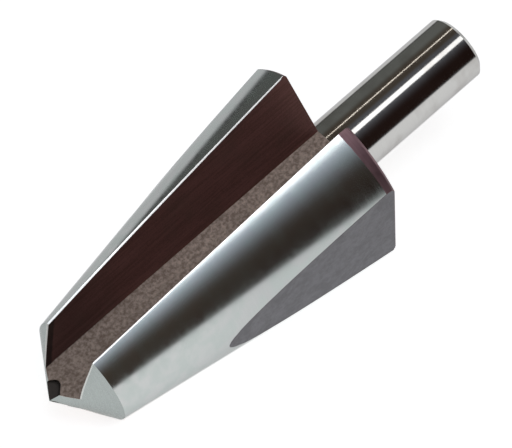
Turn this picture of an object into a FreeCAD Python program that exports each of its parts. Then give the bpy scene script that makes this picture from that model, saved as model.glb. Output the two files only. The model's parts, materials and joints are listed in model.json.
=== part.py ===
"""Cone drill bit, 16 to 30.5 mm: one piece of tool steel with two flutes, for tube and sheet metal.

The bit is turned from one bar and then ground. Its own frame has the tip at the origin and the
axis along +Z, with the floor of one flute facing +X. The second flute, land, flat, point flank and
gash are the first ones turned half a turn about Z. At the end the bit is laid down on the two edges
of one flute, as it comes to rest on a table. Sizes are millimetres and degrees.
"""

import FreeCAD, Part
import itertools
import math
import os
import Sketcher

V = FreeCAD.Vector
RIM_STEP = 1.0
CONTACT_SLACK = 0.05

SIZES = {
    # turned blank
    "overall_length": 74.0,
    "head_length": 50.0,
    "head_diameter": 30.5,
    "shank_diameter": 9.5,
    "shank_end_chamfer": 0.5,
    "back_edge_chamfer": 0.4,
    "shank_root_radius": 0.4,
    "blank_allowance": 2.0,
    # cutting lands, ground eccentric so that each falls away behind its cutting edge
    "land_half_angle": 9.3,
    "margin_length": 0.75,
    "land_offset": 0.16,
    # point flanks, ground about a tipped axis so that each lip has relief
    "point_half_angle": 54.6,
    "lip_relief": 1.6,
    # flute: a floor, a rake face square to it and a sloping heel wall
    "floor_distance": 1.28,
    "floor_width": 6.5,
    "rake_face_distance": 3.23,
    "heel_wall_angle": 123.0,
    "core_taper": 4.67,
    "side_lean": 2.18,
    # flat along the middle of each land
    "flat_azimuth": 93.7,
    "flat_distance": 9.39,
    "flat_taper": 3.67,
    # gash that thins the web at the tip
    "gash_azimuth": 19.0,
    "gash_distance": 0.15,
    "gash_lip_across": 0.52,
    "gash_lip_height": 1.18,
    "gash_end_across": 0.95,
    "gash_end_height": 1.68,
    "gash_end_radius": 0.77,
    "gash_run_out": 3.0,
}


def make_sheet(doc):
    sheet = doc.addObject("Spreadsheet::Sheet", "Sizes")
    for row, (name, value) in enumerate(SIZES.items(), start=1):
        sheet.set(f"A{row}", name)
        sheet.set(f"B{row}", str(value))
        sheet.setAlias(f"B{row}", name)
    doc.recompute()
    return sheet


def origin_item(body, role):
    return next(item for item in body.Origin.OriginFeatures if item.Role == role)


def new_sketch(body, name, role, turn=None, set_out=None):
    """Sketch on an origin plane, which can be turned about the axis and set out from it."""
    sketch = body.newObject("Sketcher::SketchObject", name)
    sketch.AttachmentSupport = [(origin_item(body, role), "")]
    sketch.MapMode = "FlatFace"
    if turn:
        sketch.AttachmentOffset = FreeCAD.Placement(V(0, 0, 0), FreeCAD.Rotation(V(0, 1, 0), 1))
        sketch.setExpression("AttachmentOffset.Rotation.Angle", turn)
    if set_out:
        sketch.setExpression("AttachmentOffset.Base.x", f"{set_out} * sin({turn})")
        sketch.setExpression("AttachmentOffset.Base.z", f"{set_out} * cos({turn})")
    body.Document.recompute()
    return sketch


def spot(sketch, across, up):
    """Point of a sketch from a pair of formulas."""
    return V(float(sketch.evalExpression(across)), float(sketch.evalExpression(up)), 0)


def pin_point(sketch, geometry, end, name, across, up):
    """Ties one point of the sketch to the sizes."""
    for axis, kind, formula in (("x", "DistanceX", across), ("y", "DistanceY", up)):
        value = float(sketch.evalExpression(formula))
        label = f"{name}_{axis}"
        index = sketch.addConstraint(Sketcher.Constraint(kind, -1, 1, geometry, end, value))
        sketch.renameConstraint(index, label)
        sketch.setExpression(f"Constraints.{label}", formula)


def draw_outline(sketch, corners):
    """Closed outline of straight lines; each corner is a pair of formulas."""
    spots = [spot(sketch, *corner) for corner in corners]
    count = len(spots)
    for i in range(count):
        sketch.addGeometry(Part.LineSegment(spots[i], spots[(i + 1) % count]), False)
    for i in range(count):
        sketch.addConstraint(Sketcher.Constraint("Coincident", i, 2, (i + 1) % count, 1))
    for i, (across, up) in enumerate(corners):
        pin_point(sketch, i, 1, f"corner_{i}", across, up)


def draw_axis(sketch, start, finish):
    """Construction line that a groove turns about."""
    line = sketch.addGeometry(Part.LineSegment(spot(sketch, *start), spot(sketch, *finish)), True)
    pin_point(sketch, line, 1, "axis_start", *start)
    pin_point(sketch, line, 2, "axis_finish", *finish)


def turn_blank(body):
    """Shank and head as turned, with spare stock in front of the tip."""
    sketch = new_sketch(body, "BlankProfile", "XZ_Plane")
    front = "-Sizes.blank_allowance"
    head, shank = "Sizes.head_diameter / 2", "Sizes.shank_diameter / 2"
    draw_outline(sketch, [
        ("0", front),
        (head, front),
        (head, "Sizes.head_length - Sizes.back_edge_chamfer"),
        (f"{head} - Sizes.back_edge_chamfer", "Sizes.head_length"),
        (shank, "Sizes.head_length"),
        (shank, "Sizes.overall_length - Sizes.shank_end_chamfer"),
        (f"{shank} - Sizes.shank_end_chamfer", "Sizes.overall_length"),
        ("0", "Sizes.overall_length"),
    ])
    blank = body.newObject("PartDesign::Revolution", "Blank")
    blank.Profile = sketch
    blank.ReferenceAxis = (sketch, ["V_Axis"])
    blank.Angle = 360
    body.Document.recompute()
    root = body.newObject("PartDesign::Fillet", "ShankRoot")
    root.Base = (blank, [shank_root_edge(blank.Shape)])
    root.setExpression("Radius", "Sizes.shank_root_radius")
    return root


def shank_root_edge(shape):
    """Name of the circle where the shank meets the back face of the head."""
    radius = SIZES["shank_diameter"] / 2
    for number, edge in enumerate(shape.Edges, start=1):
        curve = edge.Curve
        if isinstance(curve, Part.Circle) and math.isclose(curve.Radius, radius, rel_tol=1e-6):
            if math.isclose(curve.Center.z, SIZES["head_length"], rel_tol=1e-6):
                return f"Edge{number}"
    raise RuntimeError("the shank's root circle was not found")


def half_turn_groove(body, name, sketch):
    """Cut swept half a turn about the sketch's own axis line, on the +Y side."""
    groove = body.newObject("PartDesign::Groove", name)
    groove.Profile = sketch
    groove.ReferenceAxis = (sketch, ["Axis0"])
    groove.Angle = 180
    return groove


def grind_land(body):
    """Conical land: reaches the head's full diameter just short of the back face."""
    sketch = new_sketch(body, "LandProfile", "XZ_Plane")
    slope = "tan(Sizes.land_half_angle)"
    full = "(Sizes.head_diameter / 2 + Sizes.land_offset)"
    back, front = "Sizes.head_length", "-Sizes.blank_allowance"
    outside = "Sizes.head_diameter"
    draw_outline(sketch, [
        (f"{full} - (Sizes.head_length - Sizes.margin_length - {front}) * {slope}", front),
        (f"{full} + Sizes.margin_length * {slope}", back),
        (outside, back),
        (outside, front),
    ])
    draw_axis(sketch, ("Sizes.land_offset", front), ("Sizes.land_offset", back))
    return half_turn_groove(body, "LandGrind", sketch)


def grind_point(body):
    """Point flank about an axis tipped towards the lip, so the flank drops away behind the lip."""
    sketch = new_sketch(body, "PointProfile", "XZ_Plane")
    reach = "Sizes.head_diameter"
    lip = "(Sizes.point_half_angle + Sizes.lip_relief)"
    tip_x, tip_y = f"{reach} * sin({lip})", f"{reach} * cos({lip})"
    down_x, down_y = f"{reach} * sin(Sizes.lip_relief)", f"{reach} * cos(Sizes.lip_relief)"
    draw_outline(sketch, [
        ("0", "0"),
        (tip_x, tip_y),
        (f"{tip_x} - {down_x}", f"{tip_y} - {down_y}"),
        (f"-{down_x}", f"-{down_y}"),
    ])
    draw_axis(sketch, ("0", "0"), (down_x, down_y))
    return half_turn_groove(body, "PointGrind", sketch)


def grind_flute(body):
    """Straight flute whose floor climbs away from the axis, so it clears the shank at the back."""
    sketch = new_sketch(body, "FluteSection", "XY_Plane")
    floor, rake = "Sizes.floor_distance", "Sizes.rake_face_distance"
    heel = f"{rake} - Sizes.floor_width"
    reach = "2 * Sizes.head_diameter"
    draw_outline(sketch, [
        (floor, rake),
        (floor, heel),
        (f"{floor} + {reach} * sin(Sizes.heel_wall_angle)", f"{heel} + {reach} * cos(Sizes.heel_wall_angle)"),
        (f"{floor} + {reach} * sin(Sizes.heel_wall_angle)", rake),
    ])
    flute = body.newObject("PartDesign::Pocket", "Flute")
    flute.Profile = sketch
    flute.Type = "Length"
    flute.setExpression("Length", "Sizes.overall_length")
    flute.AlongSketchNormal = True
    flute.UseCustomVector = True
    flute.Direction = V(0.08, 0.04, 1)
    flute.setExpression("Direction.x", "tan(Sizes.core_taper)")
    flute.setExpression("Direction.y", "tan(Sizes.side_lean)")
    return flute


def grind_flat(body):
    """Flat along the middle of the land, from about a third of its length to the back face."""
    sketch = new_sketch(body, "FlatProfile", "YZ_Plane", turn="Sizes.flat_azimuth - 90")
    outside = "Sizes.head_diameter"
    back = "Sizes.head_length"
    draw_outline(sketch, [
        ("Sizes.flat_distance", "0"),
        (f"Sizes.flat_distance + {back} * tan(Sizes.flat_taper)", back),
        (outside, back),
        (outside, "0"),
    ])
    flat = body.newObject("PartDesign::Pocket", "LandFlat")
    flat.Profile = sketch
    flat.Type = "Length"
    flat.Midplane = True
    flat.setExpression("Length", "2 * Sizes.head_diameter")
    return flat


def draw_rounded_notch(sketch, radius, points):
    """Notch outline: foot, lip, a round end tangent to the sides, and two corners outside the bit."""
    foot, lip, centre, outer, corner = [spot(sketch, *points[name]) for name in points]
    size = float(sketch.evalExpression(radius))
    right, left = V(size, 0, 0), V(-size, 0, 0)
    for line in ((foot, lip), (lip, centre + right)):
        sketch.addGeometry(Part.LineSegment(*line), False)
    sketch.addGeometry(Part.ArcOfCircle(Part.Circle(centre, V(0, 0, 1), size), 0, math.pi), False)
    for line in ((centre + left, outer), (outer, corner), (corner, foot)):
        sketch.addGeometry(Part.LineSegment(*line), False)
    for joint in ((0, 2, 1, 1), (3, 2, 4, 1), (4, 2, 5, 1), (5, 2, 0, 1)):
        sketch.addConstraint(Sketcher.Constraint("Coincident", *joint))
    for joint in ((1, 2, 2, 1), (2, 2, 3, 1)):
        sketch.addConstraint(Sketcher.Constraint("Tangent", *joint))
    ends = {"foot": (0, 1), "lip": (0, 2), "centre": (2, 3), "outer": (4, 1), "corner": (4, 2)}
    for name, (geometry, end) in ends.items():
        pin_point(sketch, geometry, end, name, *points[name])
    index = sketch.addConstraint(Sketcher.Constraint("Radius", 2, size))
    sketch.renameConstraint(index, "end_radius")
    sketch.setExpression("Constraints.end_radius", radius)


def grind_gash(body):
    """Notch with a rounded end that thins the web and carries the lip on to the tip."""
    sketch = new_sketch(body, "GashOutline", "YZ_Plane", turn="Sizes.gash_azimuth", set_out="Sizes.gash_distance")
    lip_x, lip_y = "Sizes.gash_lip_across", "Sizes.gash_lip_height"
    side, below = "-Sizes.gash_run_out", "-Sizes.blank_allowance"
    draw_rounded_notch(sketch, "Sizes.gash_end_radius", {
        "foot": (f"{below} * {lip_x} / {lip_y}", below),
        "lip": (lip_x, lip_y),
        "centre": ("-Sizes.gash_end_across", "Sizes.gash_end_height"),
        "outer": (side, "0"),
        "corner": (side, below),
    })
    gash = body.newObject("PartDesign::Pocket", "Gash")
    gash.Profile = sketch
    gash.Type = "Length"
    gash.Reversed = True
    gash.setExpression("Length", "Sizes.gash_run_out")
    return gash


def repeat_half_turn(body, cuts):
    """Every grinding step is done again half a turn round the axis."""
    pattern = body.newObject("PartDesign::PolarPattern", "SecondSide")
    pattern.Originals = cuts
    pattern.Axis = (origin_item(body, "Z_Axis"), [""])
    pattern.Angle = 360
    pattern.Occurrences = 2
    body.Tip = pattern
    return pattern


def resting_plane(solid):
    """Outward normal of the plane that the bit rests on with its first flute down.

    The plane touches three corners of that flute's edges, has nothing of the bit beyond it and has
    the centre of mass above the triangle of the three.
    """
    rims = [p for edge in solid.Edges if edge.Length > RIM_STEP for p in edge.discretize(Distance=RIM_STEP)]
    corners = [vertex.Point for vertex in solid.Vertexes]
    shank_radius = SIZES["shank_diameter"] / 2
    mouth = [p for p in corners if p.x > 0 and math.hypot(p.x, p.y) > shank_radius]
    heavy = solid.CenterOfMass
    for a, b, c in itertools.combinations(mouth, 3):
        normal = (b - a).cross(c - a)
        if normal.Length < 1:
            continue
        normal.normalize()
        if normal.x < 0:
            normal = normal * -1
        if any((p - a).dot(normal) > CONTACT_SLACK for p in rims):
            continue
        foot = heavy - normal * (heavy - a).dot(normal)
        turns = [(q - p).cross(foot - p).dot(normal) for p, q in ((a, b), (b, c), (c, a))]
        if min(turns) > 0 or max(turns) < 0:
            return normal
    raise RuntimeError("no plane was found for the bit to rest on")


def lay_down(body):
    """Turns the resting plane down and the shank to +X, with the origin under the middle of the bit."""
    down = resting_plane(body.Shape.Solids[0])
    along = V(0, 0, 1) - down * down.z
    along.normalize()
    up = down * -1
    turned = FreeCAD.Rotation(along, up.cross(along), up, "ZXY").inverted()
    body.Placement = FreeCAD.Placement(V(0, 0, 0), turned)
    body.Document.recompute()
    box = body.Shape.Solids[0].optimalBoundingBox()
    body.Placement = FreeCAD.Placement(V(-box.Center.x, -box.Center.y, -box.ZMin), turned)
    body.Document.recompute()


def check(doc, body):
    for item in doc.Objects:
        if "Invalid" in item.State or "Error" in item.State:
            raise RuntimeError(f"{item.Name} failed: {item.State}")
    shape = body.Shape
    if shape.isNull() or not shape.isValid() or len(shape.Solids) != 1:
        raise RuntimeError(f"{body.Label} is not one sound solid")


def build():
    doc = FreeCAD.newDocument("ConeDrillBit")
    make_sheet(doc)
    body = doc.addObject("PartDesign::Body", "ConeDrill")
    body.Label = "cone_drill"
    stock = turn_blank(body)
    doc.recompute()
    cuts = []
    for grind in (grind_land, grind_point, grind_flute, grind_flat, grind_gash):
        cut = grind(body)
        doc.recompute()
        if not cut.Shape.Volume < stock.Shape.Volume:
            raise RuntimeError(f"{cut.Name} removed nothing")
        cuts.append(cut)
        stock = cut
    repeat_half_turn(body, cuts)
    doc.recompute()
    lay_down(body)
    check(doc, body)
    return body


cone_drill = build()
os.makedirs("parts", exist_ok=True)
cone_drill.Shape.exportStep(f"parts/{cone_drill.Label}.step")
tip = cone_drill.Placement.Base
axis = cone_drill.Placement.Rotation.multVec(V(0, 0, 1))
box = cone_drill.Shape.Solids[0].optimalBoundingBox()
print(f"volume {cone_drill.Shape.Volume:.1f} mm3")
print(f"tip at {tip.x:.4f} {tip.y:.4f} {tip.z:.4f}, axis {axis.x:.5f} {axis.y:.5f} {axis.z:.5f}")
print(f"box {box.XLength:.3f} x {box.YLength:.3f} x {box.ZLength:.3f} mm")
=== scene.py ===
"""Looks of a cone drill bit: one ground steel tool lying on a white studio floor.

The bit is one turned and ground piece, so its shape is the fixed frame's own. Its finish changes
from face to face: mirror-ground lands and shank, pale ground point flanks, dark flute walls over a
rough flute floor, a matt land flat and a purple-brown skin where the bar was never ground. Each
face is found from where it lies in the bit's own frame: tip at zero, z along the axis, millimetres.
"""
import json
import math

import bpy
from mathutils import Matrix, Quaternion, Vector

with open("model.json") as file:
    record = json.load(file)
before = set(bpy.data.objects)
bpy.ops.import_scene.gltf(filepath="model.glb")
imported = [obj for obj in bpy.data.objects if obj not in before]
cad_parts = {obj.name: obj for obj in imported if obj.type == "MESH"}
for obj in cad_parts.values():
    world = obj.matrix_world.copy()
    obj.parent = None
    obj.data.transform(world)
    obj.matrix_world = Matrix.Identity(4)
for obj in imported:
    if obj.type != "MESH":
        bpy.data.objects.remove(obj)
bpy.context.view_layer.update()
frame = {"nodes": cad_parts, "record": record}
bit = frame["nodes"]["cone_drill"]

MM = 0.001
RIGHT = Vector((1, 0, 0))
BACK = Vector((0, 1, 0))
UP = Vector((0, 0, 1))

# The bit's own frame, from the shank's mount: it lies turned a little about its axis
SHANK_MIDDLE = 61.95
LYING_TURN = math.radians(4.835)
shank = frame["record"]["mounts"][0]
axis = Vector(shank["axis"]).normalized()
tip = Vector(shank["pos_m"]) - axis * SHANK_MIDDLE * MM
downwards = -(UP - axis * axis.z).normalized()
flute_side = downwards * math.cos(LYING_TURN) + axis.cross(downwards) * math.sin(LYING_TURN)
rake_side = axis.cross(flute_side)

# Ground forms of the bit, in millimetres and radians. The head's margin is the round band at its back
HEAD_LENGTH = 50.0
HEAD_RADIUS = 15.25
SHANK_RADIUS = 4.75
OVERALL_LENGTH = 74.0
BACK_CHAMFER = 0.4
END_CHAMFER = 0.5
HEAD_MARGIN = 0.75
LAND_OFFSET = 0.16
LAND_ANGLE = math.radians(9.3)
POINT_ANGLE = math.radians(54.6)
LIP_RELIEF = math.radians(1.6)
FLOOR_DISTANCE = 1.28
FLOOR_WIDTH = 6.5
RAKE_DISTANCE = 3.23
HEEL_ANGLE = math.radians(123)
CORE_TAPER = math.tan(math.radians(4.67))
SIDE_LEAN = math.tan(math.radians(2.18))
FLAT_AZIMUTH = math.radians(93.7)
FLAT_DISTANCE = 9.39
FLAT_TAPER = math.tan(math.radians(3.67))

# The point flanks and the gash lie nearer to the tip than this
POINT_END = 8.0
GASH_END = 4.0

# A point this near to a face lies on it
TOUCH = 0.04

# Distances from the tip over which a colour changes: painted shade on the lands, darker heel walls and flute
# floors near the point
LAND_BRIGHT_END, LAND_SHADED_START = 14.0, 34.0
UPPER_LAND_DARK_END, UPPER_LAND_PLAIN_START = 15.0, 40.0
HEEL_DARK_END, HEEL_PLAIN_START = 6.0, 20.0
FLOOR_DARK_END, FLOOR_PLAIN_START = 5.0, 32.0

# Dark edge of the heel wall beside the point flank: full width, and where it ends
DARK_EDGE_FULL, DARK_EDGE_END = 1.1, 2.1

# Azimuths between which painted shade darkens the skin, towards the flat
SKIN_PLAIN_END = math.radians(33)
SKIN_DARK_START = math.radians(56)

# Arrises that carry painted highlight lines: widths at the tip, and how much they narrow for each millimetre
# towards the back
HEEL_ARRIS_FULL, HEEL_ARRIS_END = 0.48, 0.70
HEEL_ARRIS_TAPER = 0.008
RAKE_ARRIS = 0.24
RAKE_ARRIS_TAPER = 0.003
HEEL_RIM_FULL, HEEL_RIM_END = 0.06, 0.22

# How far the normal turns to the neighbouring face's on each of them
HEEL_ARRIS_TURN = 0.57
HEEL_RIM_TURN = 0.43
RAKE_ARRIS_TURN = 0.05

# Range that a noise mostly keeps to
NOISE_LOW, NOISE_HIGH = 0.3, 0.7


class Value:
    """One output of a shader node. Arithmetic on it adds Math nodes."""

    def __init__(self, shader, socket):
        self.shader = shader
        self.socket = socket

    def math(self, operation, *others):
        inputs = dict(enumerate((self, *others)))
        return self.shader.add("ShaderNodeMath", {"operation": operation}, inputs)

    def __add__(self, other):
        return self.math("ADD", other)

    def __sub__(self, other):
        return self.math("SUBTRACT", other)

    def __mul__(self, other):
        return self.math("MULTIPLY", other)

    def __truediv__(self, other):
        return self.math("DIVIDE", other)

    def __radd__(self, other):
        return self + other

    def __rsub__(self, other):
        return self * -1 + other

    def __rmul__(self, other):
        return self * other

    def above(self, limit):
        """One where the value is above the limit, nought elsewhere."""
        return self.math("GREATER_THAN", limit)

    def below(self, limit):
        """One where the value is below the limit, nought elsewhere."""
        return self.math("LESS_THAN", limit)

    def least(self, other):
        return self.math("MINIMUM", other)

    def most(self, other):
        return self.math("MAXIMUM", other)

    def root(self):
        return self.math("SQRT")

    def size(self):
        return self.math("ABSOLUTE")

    def side(self):
        """One where the value is positive, minus one elsewhere."""
        return self.above(0) * 2 - 1


class Shader:
    """Node tree of a material or of the world."""

    def __init__(self, owner):
        owner.use_nodes = True
        self.tree = owner.node_tree
        self.tree.nodes.clear()

    def add(self, kind, settings=None, inputs=None, output=0):
        """Adds a node: its settings first, then the values or links of its sockets."""
        node = self.tree.nodes.new(kind)
        for name, value in (settings or {}).items():
            setattr(node, name, value)
        for name, value in (inputs or {}).items():
            socket = self.find(node.inputs, name)
            if isinstance(value, Value):
                self.tree.links.new(value.socket, socket)
            elif socket.type == "RGBA":
                socket.default_value = (*value, 1.0)
            else:
                socket.default_value = value
        if node.outputs:
            return Value(self, self.find(node.outputs, output))

    @staticmethod
    def find(sockets, name):
        """Socket by its number, or by its identifier, which no other socket of the node has."""
        if isinstance(name, int):
            return sockets[name]
        return next(socket for socket in sockets if socket.identifier == name)

    def vector(self, operation, *vectors, output="Vector"):
        inputs = dict(enumerate(vectors))
        return self.add("ShaderNodeVectorMath", {"operation": operation}, inputs, output)

    def dot(self, vector, direction):
        return self.vector("DOT_PRODUCT", vector, direction, output="Value")

    def scale(self, direction, length):
        return self.add("ShaderNodeVectorMath", {"operation": "SCALE"}, {0: direction, "Scale": length})

    def join(self, x, y, z):
        return self.add("ShaderNodeCombineXYZ", None, {"X": x, "Y": y, "Z": z})

    def spread(self, value, low, high, to_low=0.0, to_high=1.0):
        """Smooth change from one number to another while the value goes from low to high."""
        settings = {"interpolation_type": "SMOOTHSTEP"}
        ends = {"Value": value, "From Min": low, "From Max": high, "To Min": to_low, "To Max": to_high}
        return self.add("ShaderNodeMapRange", settings, ends)

    def noise(self, place, scale, detail=3.0, roughness=0.55):
        inputs = {"Vector": place, "Scale": scale, "Detail": detail, "Roughness": roughness}
        return self.add("ShaderNodeTexNoise", None, inputs, "Fac")

    def blend(self, mask, under, over):
        """One colour over another where the mask is one."""
        inputs = {"Factor_Float": mask, "A_Color": under, "B_Color": over}
        return self.add("ShaderNodeMix", {"data_type": "RGBA"}, inputs, "Result_Color")

    def turn(self, mask, under, over):
        """One direction in place of another where the mask is one."""
        inputs = {"Factor_Float": mask, "A_Vector": under, "B_Vector": over}
        return self.add("ShaderNodeMix", {"data_type": "VECTOR"}, inputs, "Result_Vector")


class Faces:
    """The bit's ground faces: their masks, gaps and normals, from the place in its own frame."""

    def __init__(self, shader):
        self.shader = shader
        place = shader.add("ShaderNodeTexCoord", output="Object")
        from_tip = shader.vector("SUBTRACT", place, tip)
        self.x = shader.dot(from_tip, flute_side) * (1 / MM)
        self.y = shader.dot(from_tip, rake_side) * (1 / MM)
        self.z = shader.dot(from_tip, axis) * (1 / MM)
        self.place = shader.join(self.x, self.y, self.z)
        self.radius = (self.x * self.x + self.y * self.y).root()
        self.towards_back = shader.spread(self.z, LAND_BRIGHT_END, LAND_SHADED_START)
        self.find_flute()
        self.find_land()
        self.find_shank()
        self.find_skin()
        self.find_point()
        self.find_arrises()

    def normal(self, x, y, z):
        """World direction from its parts in the bit's own frame."""
        shader = self.shader
        crosswise = shader.vector("ADD", shader.scale(flute_side, x), shader.scale(rake_side, y))
        direction = shader.vector("ADD", crosswise, shader.scale(axis, z))
        settings = {"vector_type": "NORMAL", "convert_from": "OBJECT", "convert_to": "WORLD"}
        return shader.add("ShaderNodeVectorTransform", settings, {0: direction})

    def find_flute(self):
        """Both flutes are alike half a turn apart, so one is found after a fold about x = 0."""
        fold = self.x.side()
        x = self.x * fold
        y = self.y * fold
        z = self.z
        heel_x = -math.cos(HEEL_ANGLE)
        heel_y = math.sin(HEEL_ANGLE)
        heel_foot = FLOOR_DISTANCE * heel_x + (RAKE_DISTANCE - FLOOR_WIDTH) * heel_y
        heel_slope = CORE_TAPER * heel_x + SIDE_LEAN * heel_y
        self.floor_gap = x - FLOOR_DISTANCE - z * CORE_TAPER
        self.rake_gap = RAKE_DISTANCE + z * SIDE_LEAN - y
        self.heel_gap = x * heel_x + y * heel_y - heel_foot - z * heel_slope
        self.inside = self.floor_gap.least(self.rake_gap).least(self.heel_gap).above(-TOUCH)
        self.outside = 1 - self.inside
        self.floor = self.inside * self.floor_gap.below(TOUCH)
        self.rake = self.inside * self.rake_gap.below(TOUCH)
        self.heel = self.inside * self.heel_gap.below(TOUCH)
        self.across_flute = y - z * SIDE_LEAN
        self.rake_normal = self.normal(0.0, fold * -1, SIDE_LEAN)
        self.heel_normal = self.normal(fold * heel_x, fold * heel_y, -heel_slope)

    def find_land(self):
        """Both lands and their flats are alike half a turn apart: the fold is about y = 0."""
        fold = self.y.side()
        x = self.x * fold
        y = self.y * fold
        z = self.z
        to_flat = x * math.cos(FLAT_AZIMUTH) + y * math.sin(FLAT_AZIMUTH)
        flat_gap = to_flat - FLAT_DISTANCE - z * FLAT_TAPER
        self.flat = self.outside * z.below(HEAD_LENGTH - TOUCH) * flat_gap.size().below(TOUCH)
        land_x = x - LAND_OFFSET
        land_radius = (land_x * land_x + y * y).root()
        tip_radius = HEAD_RADIUS - (HEAD_LENGTH - HEAD_MARGIN) * math.tan(LAND_ANGLE)
        self.land_gap = z * math.tan(LAND_ANGLE) + tip_radius - land_radius
        self.land_normal = self.normal(
            land_x * fold / land_radius * math.cos(LAND_ANGLE),
            self.y / land_radius * math.cos(LAND_ANGLE),
            -math.sin(LAND_ANGLE),
        )
        self.azimuth = y.math("ARCTAN2", x)

    def find_shank(self):
        """The shank with its end face, and its round surface alone."""
        self.shank = self.z.above(HEAD_LENGTH + TOUCH)
        self.shank_end = self.z.above(OVERALL_LENGTH - TOUCH)
        on_radius = self.radius.above(SHANK_RADIUS - TOUCH) * self.radius.below(SHANK_RADIUS + TOUCH)
        self.barrel = self.shank * on_radius * self.z.below(OVERALL_LENGTH - END_CHAMFER)
        self.shank_normal = self.normal(self.x / self.radius, self.y / self.radius, 0.0)

    def find_skin(self):
        """What was turned and never ground: the back face, its chamfer and the band beside it.

        Ground is all the rest of the head outside the flutes.
        """
        chamfer = (self.radius + self.z).above(HEAD_RADIUS + HEAD_LENGTH - BACK_CHAMFER - TOUCH)
        band = self.radius.above(HEAD_RADIUS - TOUCH / 2)
        back = self.z.above(HEAD_LENGTH - TOUCH)
        self.skin = chamfer.most(band).most(back) * (1 - self.shank) * self.outside
        self.ground = self.outside * (1 - self.skin) * (1 - self.shank)

    def find_point(self):
        """Point flanks and gash, after the same fold as the lands."""
        fold = self.y.side()
        x = self.x * fold
        y = self.y * fold
        z = self.z
        relief_sin = math.sin(LIP_RELIEF)
        relief_cos = math.cos(LIP_RELIEF)
        point_sin = math.sin(POINT_ANGLE)
        point_cos = math.cos(POINT_ANGLE)
        along = x * relief_sin + z * relief_cos
        across = x * relief_cos - z * relief_sin
        flank_radius = (across * across + y * y).root()
        outward = across / flank_radius * point_cos
        self.point_gap = along * math.tan(POINT_ANGLE) - flank_radius
        self.point_normal = self.normal(
            (outward * relief_cos - point_sin * relief_sin) * fold,
            self.y / flank_radius * point_cos,
            outward * -relief_sin - point_sin * relief_cos,
        )
        self.gash = self.outside * z.below(GASH_END) * self.point_gap.above(TOUCH)
        self.point = self.land_gap.above(TOUCH) * z.below(POINT_END) * self.outside * (1 - self.gash)

    def find_arrises(self):
        """Rounded arrises, which carry painted highlight lines: where a land meets the heel wall, on both
        faces, and along the cutting edge.
        """
        shader = self.shader
        off_heel = self.heel_gap - self.z * HEEL_ARRIS_TAPER
        off_rake = self.rake_gap - self.z * RAKE_ARRIS_TAPER
        fading = shader.spread(off_heel, -HEEL_ARRIS_END, -HEEL_ARRIS_FULL)
        fainter_on_point = 1 - self.point * 0.7
        self.beside_heel = fading * self.rake_gap.above(0)
        self.beside_rake = off_rake.above(-RAKE_ARRIS) * self.heel_gap.above(0) * fainter_on_point
        self.land_arris = self.beside_heel.most(self.beside_rake) * self.floor_gap.above(0) * self.ground
        wall_side = shader.spread(self.land_gap, HEEL_RIM_FULL, HEEL_RIM_END, 1.0, 0.0)
        self.heel_rim = self.heel * wall_side * self.z.below(HEAD_LENGTH - HEAD_MARGIN)


class Patterns:
    """Noises that the finishes share, all in the bit's own frame."""

    def __init__(self, shader, face):
        self.grain = shader.noise(face.place, scale=1.6, detail=5.0)
        self.fine = shader.noise(face.place, scale=7.0, detail=4.0, roughness=0.7)
        self.cloud = shader.noise(face.place, scale=0.22, detail=2.0)
        self.haze = shader.noise(face.place, scale=0.42)
        self.mottle = shader.spread(self.grain + self.haze, 0.75, 1.25)
        self.speckle = shader.spread(shader.noise(face.place, scale=2.1, roughness=0.6), 0.3, 0.72)
        self.pits = shader.add("ShaderNodeTexVoronoi", None, {"Vector": face.place, "Scale": 2.6}, "Distance")

        # Grinding lines: round the bit on lands, point and shank, along it on the flute walls
        round_bit = shader.join(face.azimuth * 0.6, face.radius * 0.4, face.z * 9.0)
        along_flute = shader.join(face.z * 0.12, face.floor_gap * 3.0, face.across_flute * 3.0)
        self.turned = shader.noise(round_bit, scale=1.0, roughness=0.7)
        self.drawn = shader.noise(along_flute, scale=1.0, detail=4.0, roughness=0.7)
        self.streaks = shader.spread(self.drawn + self.fine, 0.8, 1.2)

        # Turning rings on the end faces
        on_end = shader.join(face.radius * 6.0, face.z * 3.0, face.azimuth * 0.3)
        self.rings = shader.noise(on_end, scale=1.0, roughness=0.6)


class Finish:
    """Colour, roughness, bump height and metal of the whole bit, laid on face after face."""

    def __init__(self, shader, colour, rough, height, metal):
        self.shader = shader
        self.colour = colour
        self.rough = rough
        self.height = height
        self.metal = metal

    def lay(self, mask, dark, light, shade, smooth, coarse, wear, height, metal):
        """A face's finish: shade leads from dark to light, and wear from smooth to coarse."""
        shader = self.shader
        self.tint(mask, shader.blend(shade, dark, light))
        self.polish(mask, shader.spread(wear, NOISE_LOW, NOISE_HIGH, smooth, coarse), metal)
        self.height = self.height + (height - self.height) * mask

    def tint(self, mask, colour):
        """Colours the steel where the mask is one."""
        self.colour = self.shader.blend(mask, self.colour, colour)

    def polish(self, mask, rough, metal):
        """Sets roughness and metal where the mask is one."""
        self.rough = self.rough + (rough - self.rough) * mask
        self.metal = self.metal + (metal - self.metal) * mask


def ground_lands(shader, face, pattern):
    """Mirror-ground lands, darker towards the back with painted shade, with a faint green-grey haze in
    clouds.
    """
    front = shader.blend(pattern.turned, (0.49, 0.505, 0.496), (0.58, 0.596, 0.586))
    back = shader.blend(pattern.turned, (0.41, 0.423, 0.42), (0.49, 0.504, 0.5))
    rough = shader.spread(pattern.turned, NOISE_LOW, NOISE_HIGH, 0.14, 0.19)
    hazy = shader.spread(pattern.haze, NOISE_LOW, NOISE_HIGH, 0.0, 0.05)
    # Painted shade: the lands darken from the front colours to the back ones
    colour = shader.blend(face.towards_back, front, back)
    finish = Finish(shader, colour, rough + hazy, pattern.turned * 0.3, metal=1.0)
    finish.tint(shader.spread(pattern.haze, 0.35, 0.65, 0.0, 0.5), (0.44, 0.50, 0.475))

    # Painted shade: the upper land is darker, most towards the point
    upper_land_painted_shade = shader.spread(face.z, UPPER_LAND_DARK_END, UPPER_LAND_PLAIN_START, 0.21, 0.10)
    finish.tint(face.y.above(0) * upper_land_painted_shade, (0.0, 0.0, 0.0))
    return finish


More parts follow.
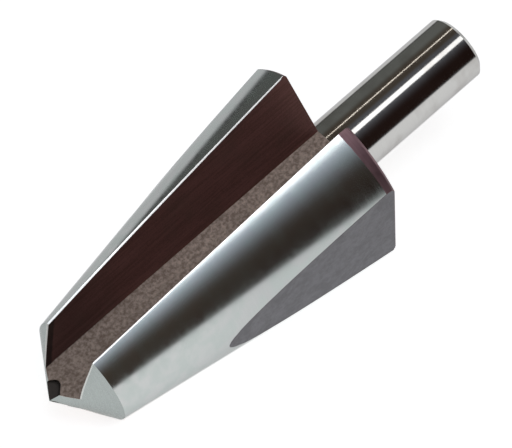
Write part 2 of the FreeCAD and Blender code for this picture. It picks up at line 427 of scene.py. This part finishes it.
def point_and_flat(finish, face, pattern):
    """Pale ground point flanks and the matt land flats."""
    finish.lay(
        face.point, dark=(0.315, 0.343, 0.333), light=(0.425, 0.463, 0.449), shade=pattern.turned,
        smooth=0.22, coarse=0.32, wear=pattern.grain, height=pattern.turned * 0.5, metal=1.0,
    )
    finish.lay(
        face.flat, dark=(0.124, 0.121, 0.129), light=(0.169, 0.166, 0.178), shade=pattern.mottle,
        smooth=0.42, coarse=0.55, wear=pattern.fine, height=pattern.fine * 0.5, metal=0.7,
    )


def shank_and_skin(finish, face, pattern):
    """Mirror-ground shank with its turned end, and the purple-brown skin at the head's back."""
    finish.lay(
        face.shank, dark=(0.48, 0.475, 0.46), light=(0.56, 0.555, 0.54), shade=pattern.turned,
        smooth=0.09, coarse=0.13, wear=pattern.turned, height=pattern.turned * 0.2, metal=1.0,
    )
    finish.lay(
        face.shank_end, dark=(0.42, 0.415, 0.40), light=(0.60, 0.59, 0.575), shade=pattern.rings,
        smooth=0.3, coarse=0.42, wear=pattern.grain, height=pattern.rings, metal=0.9,
    )
    finish.lay(
        face.skin, dark=(0.23, 0.132, 0.147), light=(0.40, 0.24, 0.265), shade=pattern.rings,
        smooth=0.36, coarse=0.48, wear=pattern.grain, height=pattern.rings * 1.2, metal=0.68,
    )


def flute_faces(finish, face, pattern):
    """Dark red-brown flute walls, the rough speckled floor between them and the black gash."""
    rough_floor = pattern.fine + pattern.pits + pattern.grain * 1.5
    finish.lay(
        face.heel, dark=(0.158, 0.07, 0.058), light=(0.235, 0.104, 0.09), shade=pattern.streaks,
        smooth=0.36, coarse=0.48, wear=pattern.drawn, height=pattern.drawn * 0.5, metal=0.4,
    )
    finish.lay(
        face.rake, dark=(0.12, 0.075, 0.068), light=(0.20, 0.14, 0.13), shade=pattern.drawn,
        smooth=0.3, coarse=0.42, wear=pattern.drawn, height=pattern.drawn * 0.5, metal=0.6,
    )
    finish.lay(
        face.floor, dark=(0.345, 0.258, 0.21), light=(0.735, 0.59, 0.51), shade=pattern.speckle,
        smooth=0.5, coarse=0.68, wear=pattern.fine, height=rough_floor, metal=0.4,
    )
    finish.lay(
        face.gash, dark=(0.02, 0.016, 0.014), light=(0.06, 0.047, 0.04), shade=pattern.fine,
        smooth=0.38, coarse=0.5, wear=pattern.fine, height=pattern.fine, metal=0.5,
    )


def dark_flutes_and_painted_shade(finish, face):
    """Darker flutes near the point, a dark edge beside its flanks and painted shade that darkens the skin by
    the flats.
    """
    shader = finish.shader
    near_point = shader.spread(face.z, HEEL_DARK_END, HEEL_PLAIN_START, 0.5, 0.0)
    dark_edge = shader.spread(face.point_gap, DARK_EDGE_FULL, DARK_EDGE_END, 0.9, 0.0)
    floor_dark = shader.spread(face.z, FLOOR_DARK_END, FLOOR_PLAIN_START, 0.2, 0.0)
    painted_shade_towards_flat = shader.spread(face.azimuth, SKIN_PLAIN_END, SKIN_DARK_START, 0.0, 0.52)
    finish.tint(face.heel * near_point.most(dark_edge), (0.024, 0.016, 0.014))
    finish.tint(face.floor * floor_dark, (0.03, 0.02, 0.018))
    # Painted shade: the skin darkens towards the flats
    finish.tint(face.skin * painted_shade_towards_flat, (0.02, 0.012, 0.012))


def painted_edge_highlights(finish, face):
    """Painted highlights: thin bright lines on the arrises, warm white along the cutting edge and greyer at
    the back of the heel edge.
    """
    # Painted highlight: a near-white colour laid on the arrises
    glint_line = face.land_arris.most(face.heel_rim)
    dimmer_highlight = face.beside_heel.most(face.heel_rim) * face.towards_back
    finish.tint(glint_line, finish.shader.blend(dimmer_highlight, (0.96, 0.93, 0.89), (0.56, 0.54, 0.52)))
    finish.polish(glint_line, rough=0.28, metal=1.0)


def oil_stain(finish, face, pattern):
    """Faint stain of cutting oil in clouds, on the flutes, the skin and the shank."""
    stain = finish.shader.spread(pattern.cloud, 0.45, 0.7, 0.0, 0.22)
    finish.tint(stain * (1 - face.ground), (0.12, 0.08, 0.06))


def true_normals(shader, face):
    """Round normals on the ground cones and the shank, and turned ones along the arrises."""
    land = face.ground * (1 - face.flat) * (1 - face.point) * (1 - face.gash)
    facing = shader.add("ShaderNodeNewGeometry", output="Normal")
    turns = (
        (land, face.land_normal),
        (face.point, face.point_normal),
        (face.barrel, face.shank_normal),
        (face.land_arris * face.beside_heel * HEEL_ARRIS_TURN, face.heel_normal),
        (face.heel_rim * HEEL_RIM_TURN, face.land_normal),
        (face.land_arris * face.beside_rake * RAKE_ARRIS_TURN, face.rake_normal),
    )
    for mask, normal in turns:
        facing = shader.turn(mask, facing, normal)
    return shader.vector("NORMALIZE", facing)


def tool_steel():
    """Ground and hardened high-speed steel, each face with its own finish."""
    material = bpy.data.materials.new("ground_tool_steel")
    shader = Shader(material)
    face = Faces(shader)
    pattern = Patterns(shader, face)
    finish = ground_lands(shader, face, pattern)
    point_and_flat(finish, face, pattern)
    shank_and_skin(finish, face, pattern)
    flute_faces(finish, face, pattern)
    dark_flutes_and_painted_shade(finish, face)
    painted_edge_highlights(finish, face)
    oil_stain(finish, face, pattern)
    relief = shader.add("ShaderNodeBump", None, {
        "Strength": 0.12, "Distance": 0.02 * MM,
        "Height": finish.height, "Normal": true_normals(shader, face),
    })

    # The tint tones the mirror down where the steel is seen at a grazing angle
    surface = shader.add("ShaderNodeBsdfPrincipled", None, {
        "Base Color": finish.colour, "Metallic": finish.metal, "Roughness": finish.rough,
        "Specular Tint": (0.65, 0.65, 0.65), "Normal": relief,
    })
    shader.add("ShaderNodeOutputMaterial", None, {"Surface": surface})
    return material


def plain_floor():
    """White sweep, a little bright of itself, as a lit studio table is, with a painted pool of light that
    fades to grey further out.
    """
    white_end, grey_start = 0.13, 0.34
    bpy.ops.object.select_all(action="DESELECT")
    bpy.ops.mesh.primitive_plane_add(size=6.0, location=(0, 0, 0))
    floor = bpy.context.object
    floor.name = "studio_floor"
    material = bpy.data.materials.new("white_sweep")
    shader = Shader(material)
    place = shader.add("ShaderNodeTexCoord", output="Object")
    distance = shader.vector("LENGTH", place, output="Value")
    # Painted pool of light: colour and glow fall from white to grey away from the bit
    outside_painted_pool = shader.spread(distance, white_end, grey_start)
    surface = shader.add("ShaderNodeBsdfPrincipled", None, {
        "Base Color": shader.blend(outside_painted_pool, (0.86, 0.86, 0.86), (0.1, 0.1, 0.1)),
        "Roughness": 0.9, "Specular IOR Level": 0.0,
        "Emission Color": shader.blend(outside_painted_pool, (1.0, 1.0, 1.0), (0.05, 0.05, 0.05)),
        "Emission Strength": 0.765,
    })
    shader.add("ShaderNodeOutputMaterial", None, {"Surface": surface})
    floor.data.materials.append(material)


def softbox(name, place, turn, width, depth, radiance, colour):
    """Flat lamp that faces down; radiance is how bright it looks in a mirror."""
    data = bpy.data.lights.new(name, "AREA")
    data.shape = "RECTANGLE"
    data.size = width
    data.size_y = depth
    data.energy = radiance * math.pi * width * depth
    data.color = colour
    lamp = bpy.data.objects.new(name, data)
    bpy.context.scene.collection.objects.link(lamp)
    lamp.location = place
    lamp.rotation_euler.z = turn


def studio_lamps():
    """A soft lamp overhead in front, and a thin warm one behind."""
    softbox(
        "front_overhead", place=(0.0, -0.36, 1.0), turn=math.radians(8),
        width=0.56, depth=0.27, radiance=2.2, colour=(1.0, 1.0, 1.0),
    )
    softbox(
        "back_strip", place=(0.1, 0.44, 1.0), turn=0.0,
        width=0.5, depth=0.03, radiance=3.5, colour=(1.0, 0.92, 0.82),
    )


def dim_room():
    """Room that the steel mirrors: a glow above the front left, a dim wall behind, grey sides."""
    world = bpy.data.worlds.new("studio")
    bpy.context.scene.world = world
    shader = Shader(world)
    towards = shader.add("ShaderNodeTexCoord", output="Generated")
    height = shader.dot(towards, UP)
    aside = shader.dot(towards, RIGHT)
    behind = shader.spread(shader.dot(towards, BACK), -0.05, 0.15)

    # The glow grows from a low height to a full one, and is weaker on the right
    glow_start, glow_full = 0.4, 0.86
    rise = ((height - glow_start) / (glow_full - glow_start)).most(0).least(1)
    glow = rise * rise * rise * shader.spread(aside, -0.1, 0.15, 0.8, 0.1)
    dusk = shader.blend(shader.spread(aside, -0.14, 0.05), (0.078, 0.061, 0.048), (0.022, 0.012, 0.01))
    front = shader.blend(glow, dusk, (0.98, 1.1, 1.26))
    wall = shader.blend(shader.spread(height, 0.6, 0.85), (0.17, 0.175, 0.165), (0.085, 0.07, 0.055))
    far_aside = shader.spread(aside.size(), 0.55, 0.85)
    sky = shader.blend(far_aside, shader.blend(behind, front, wall), (0.42, 0.43, 0.44))
    light = shader.add("ShaderNodeBackground", None, {"Color": sky, "Strength": 1.0})
    shader.add("ShaderNodeOutputWorld", None, {"Surface": light})


def photo_camera():
    """Long lens that looks down on the bit from in front of its point."""
    azimuth = math.radians(-41.31)
    elevation = math.radians(50.70)
    roll = math.radians(-1.91)
    distance = 0.6554
    aim = Vector((-0.00124, -0.00088, 0.01279))
    towards_camera = Vector((
        math.sin(azimuth) * math.cos(elevation),
        -math.cos(azimuth) * math.cos(elevation),
        math.sin(elevation),
    ))
    data = bpy.data.cameras.new("photo_camera")
    data.lens = 353.3
    data.sensor_width = 36.0
    data.clip_start = 0.05
    data.clip_end = 20.0
    camera = bpy.data.objects.new("photo_camera", data)
    bpy.context.scene.collection.objects.link(camera)
    camera.location = aim + towards_camera * distance
    camera.rotation_mode = "QUATERNION"
    camera.rotation_quaternion = (-towards_camera).to_track_quat("-Z", "Y") @ Quaternion(UP, roll)
    bpy.context.scene.camera = camera


photo_camera()
plain_floor()
studio_lamps()
dim_room()
bpy.context.scene.view_settings.view_transform = "Standard"

steel = tool_steel()
for slot in bit.material_slots:
    slot.material = steel
